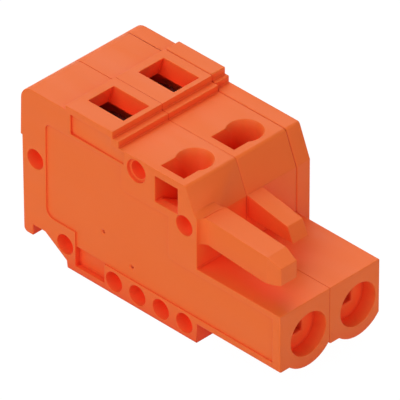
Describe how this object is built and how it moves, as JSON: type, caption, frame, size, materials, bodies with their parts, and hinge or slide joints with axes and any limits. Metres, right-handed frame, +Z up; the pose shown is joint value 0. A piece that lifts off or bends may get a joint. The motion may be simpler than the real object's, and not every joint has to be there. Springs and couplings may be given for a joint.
{
  "type": "female circuit board connector",
  "caption": "Angled pluggable female connector for a circuit board header, with clamp springs, round front barrels, top conductor entries, tool openings and coding fingers.",
  "frame": {"origin": "centre of the bounding box's underside", "axes": "+X in the mating direction, towards the barrels; +Y from the near side with the peg sockets to the end plate; +Z up, out of the conductor entries"},
  "size_m": [0.0264, 0.0116, 0.0143],
  "materials": {
    "housing": "fine satin moulded plastic, orange",
    "contact": "tin-plated copper alloy, dull silver",
    "spring": "stainless spring steel"
  },
  "bodies": {
    "root": {"cage_spring_1": "spring", "cage_spring_2": "spring", "contact_1": "contact", "contact_2": "contact", "end_plate": "housing", "housing_module_1": "housing", "housing_module_2": "housing"}
  },
  "joints": []
}
